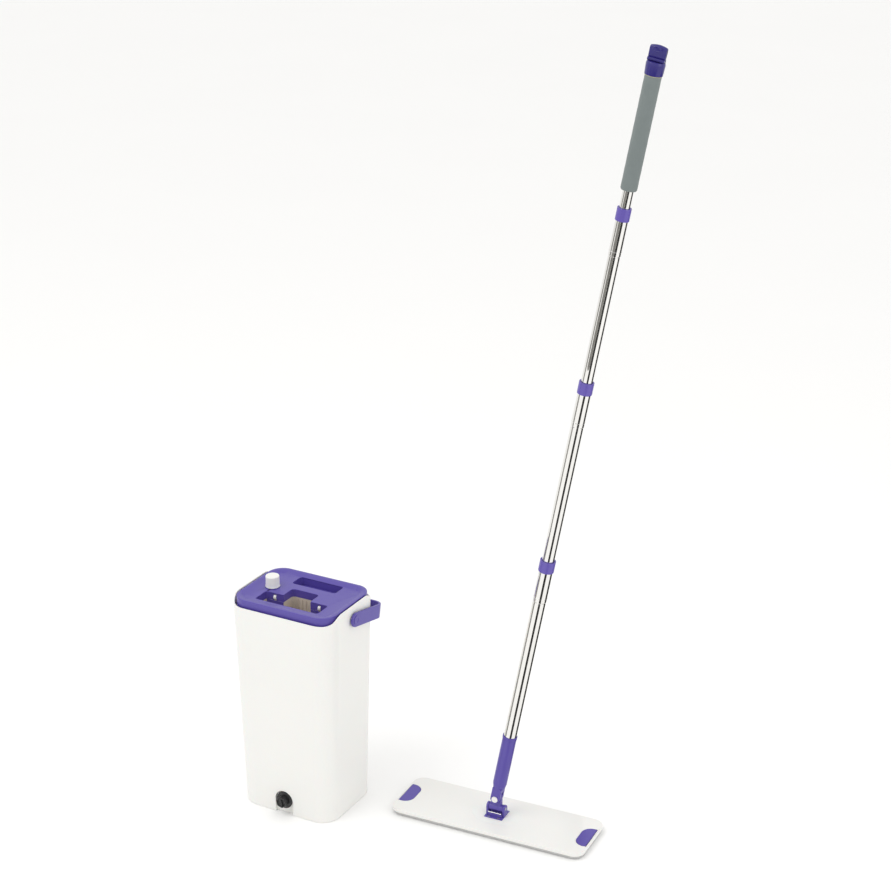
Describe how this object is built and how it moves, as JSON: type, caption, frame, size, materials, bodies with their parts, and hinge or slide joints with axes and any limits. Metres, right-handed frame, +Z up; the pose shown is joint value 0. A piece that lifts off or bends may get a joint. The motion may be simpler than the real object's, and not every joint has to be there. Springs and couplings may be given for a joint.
{
  "type": "flat mop and bucket set",
  "caption": "Tall bucket with a lift-out wringer insert, bail handle and drain cap, beside a flat mop on a leaning telescopic pole with twist-lock collars.",
  "frame": {"origin": "centre of the bucket's base, on the floor", "axes": "X to the right along the bucket's front face, Y towards the back, Z up"},
  "size_m": [0.7008, 0.2356, 1.3619],
  "materials": {
    "white_plastic": "satin moulded polypropylene",
    "purple_plastic": "satin moulded polypropylene",
    "black_plastic": "satin moulded plastic",
    "black_rubber": "soft moulded rubber",
    "stainless_tube": "polished stainless steel",
    "steel_pin": "bright steel",
    "grey_foam": "fine closed-cell foam",
    "pad_fabric": "grey microfibre loop pile",
    "hook_tape": "hook tape"
  },
  "bodies": {
    "bucket": {"bucket_shell": "white_plastic"},
    "bail": {"bucket_handle": "purple_plastic"},
    "drain_seal": {"drain_gasket": "black_rubber"},
    "drain_plug": {"drain_cap": "black_plastic"},
    "wringer_insert": {"lid_cover": "purple_plastic", "slot_lining": "purple_plastic", "fill_funnel": "purple_plastic", "wash_chute": "white_plastic", "clean_water_tank": "white_plastic", "roller_axle_left": "steel_pin", "roller_axle_right": "steel_pin", "scraper_holder": "white_plastic", "scraper_blade": "black_rubber", "insert_screws": "steel_pin", "knob_washer": "black_rubber"},
    "water_valve": {"valve_knob": "white_plastic", "valve_rod": "white_plastic", "valve_disc": "black_rubber"},
    "roller_left": {"guide_roller_left": "white_plastic"},
    "roller_right": {"guide_roller_right": "white_plastic"},
    "mop_head": {"mop_plate": "white_plastic", "clip_pin_left": "steel_pin", "clip_pin_right": "steel_pin", "pad_strips": "hook_tape", "mop_pad": "pad_fabric", "head_bracket": "purple_plastic", "bracket_screws": "steel_pin", "lower_axle": "steel_pin", "detent_spring": "steel_pin"},
    "clip_left": {"pad_clip_left": "purple_plastic"},
    "clip_right": {"pad_clip_right": "purple_plastic"},
    "yoke": {"yoke_block": "purple_plastic"},
    "pole_lower": {"handle_socket": "purple_plastic", "pivot_pin": "white_plastic", "tube_one": "stainless_tube", "collet_one": "white_plastic"},
    "collar_one": {"lock_collar_one": "purple_plastic"},
    "pole_two": {"tube_two": "stainless_tube", "bush_two": "white_plastic", "collet_two": "white_plastic"},
    "collar_two": {"lock_collar_two": "purple_plastic"},
    "pole_three": {"tube_three": "stainless_tube", "bush_three": "white_plastic", "collet_three": "white_plastic"},
    "collar_three": {"lock_collar_three": "purple_plastic"},
    "pole_four": {"tube_four": "stainless_tube", "bush_four": "white_plastic", "grip_sleeve": "grey_foam", "end_cap": "purple_plastic"},
    "hook": {"hanging_hook": "purple_plastic"}
  },
  "joints": [
    {"name": "handle_swing", "type": "hinge", "parent": "bucket", "child": "bail", "pos_m": [0, -0.002, 0.368], "axis": [1, 0, 0], "range_deg": [0, 194]},
    {"name": "drain_travel", "type": "slide", "parent": "bucket", "child": "drain_seal", "axis": [0, -1, 0], "range_m": [0, 0.008]},
    {"name": "drain_turn", "type": "hinge", "parent": "drain_seal", "child": "drain_plug", "pos_m": [0, -0.07, 0.026], "axis": [0, -1, 0], "range_deg": [0, 720]},
    {"name": "insert_lift", "type": "slide", "parent": "bucket", "child": "wringer_insert", "axis": [0, 0, 1], "range_m": [0, 0.26]},
    {"name": "valve_turn", "type": "hinge", "parent": "wringer_insert", "child": "water_valve", "pos_m": [-0.062, 0.004, 0.39], "axis": [0, 0, 1], "range_deg": [0, 90]},
    {"name": "roller_left_spin", "type": "hinge", "parent": "wringer_insert", "child": "roller_left", "pos_m": [-0.0445, -0.0135, 0.38], "axis": [1, 0, 0], "continuous": true},
    {"name": "roller_right_spin", "type": "hinge", "parent": "wringer_insert", "child": "roller_right", "pos_m": [0.0445, -0.0135, 0.38], "axis": [1, 0, 0], "continuous": true},
    {"name": "mop_lift", "type": "slide", "parent": "bucket", "child": "mop_head", "axis": [0, 0, 1], "range_m": [0, 0.4]},
    {"name": "clip_left_lift", "type": "hinge", "parent": "mop_head", "child": "clip_left", "pos_m": [0.16182, 0.07041, 0.011], "axis": [-0.061, 0.9981, 0], "range_deg": [-60, 0]},
    {"name": "clip_right_lift", "type": "hinge", "parent": "mop_head", "child": "clip_right", "pos_m": [0.50818, 0.09159, 0.011], "axis": [0.061, -0.9981, 0], "range_deg": [-60, 0]},
    {"name": "head_tilt", "type": "hinge", "parent": "mop_head", "child": "yoke", "pos_m": [0.335, 0.081, 0.0275], "axis": [0.9981, 0.061, 0], "range_deg": [-90, 90]},
    {"name": "pole_lean", "type": "hinge", "parent": "yoke", "child": "pole_lower", "pos_m": [0.335, 0.081, 0.0475], "axis": [-0.061, 0.9981, 0], "range_deg": [-40, 79.5]},
    {"name": "collar_one_twist", "type": "hinge", "parent": "pole_lower", "child": "collar_one", "pos_m": [0.41904, 0.08614, 0.50176], "axis": [0.1819, 0.0111, 0.9833], "range_deg": [0, 90]},
    {"name": "tube_two_slide", "type": "slide", "parent": "pole_lower", "child": "pole_two", "axis": [0.1819, 0.0111, 0.9833], "range_m": [-0.244, 0]},
    {"name": "collar_two_twist", "type": "hinge", "parent": "pole_two", "child": "collar_two", "pos_m": [0.47724, 0.0897, 0.81641], "axis": [0.1819, 0.0111, 0.9833], "range_deg": [0, 90]},
    {"name": "tube_three_slide", "type": "slide", "parent": "pole_two", "child": "pole_three", "axis": [0.1819, 0.0111, 0.9833], "range_m": [-0.211, 0]},
    {"name": "collar_three_twist", "type": "hinge", "parent": "pole_three", "child": "collar_three", "pos_m": [0.52945, 0.09289, 1.0986], "axis": [0.1819, 0.0111, 0.9833], "range_deg": [0, 90]},
    {"name": "tube_four_slide", "type": "slide", "parent": "pole_three", "child": "pole_four", "axis": [0.1819, 0.0111, 0.9833], "range_m": [-0.026, 0]},
    {"name": "hook_swivel", "type": "hinge", "parent": "pole_four", "child": "hook", "pos_m": [0.57201, 0.0955, 1.32868], "axis": [0.1819, 0.0111, 0.9833], "continuous": true}
  ],
  "couplings": [
    {"joint": "drain_travel", "follows": "drain_turn", "m_per_rad": 0.00063662}
  ]
}
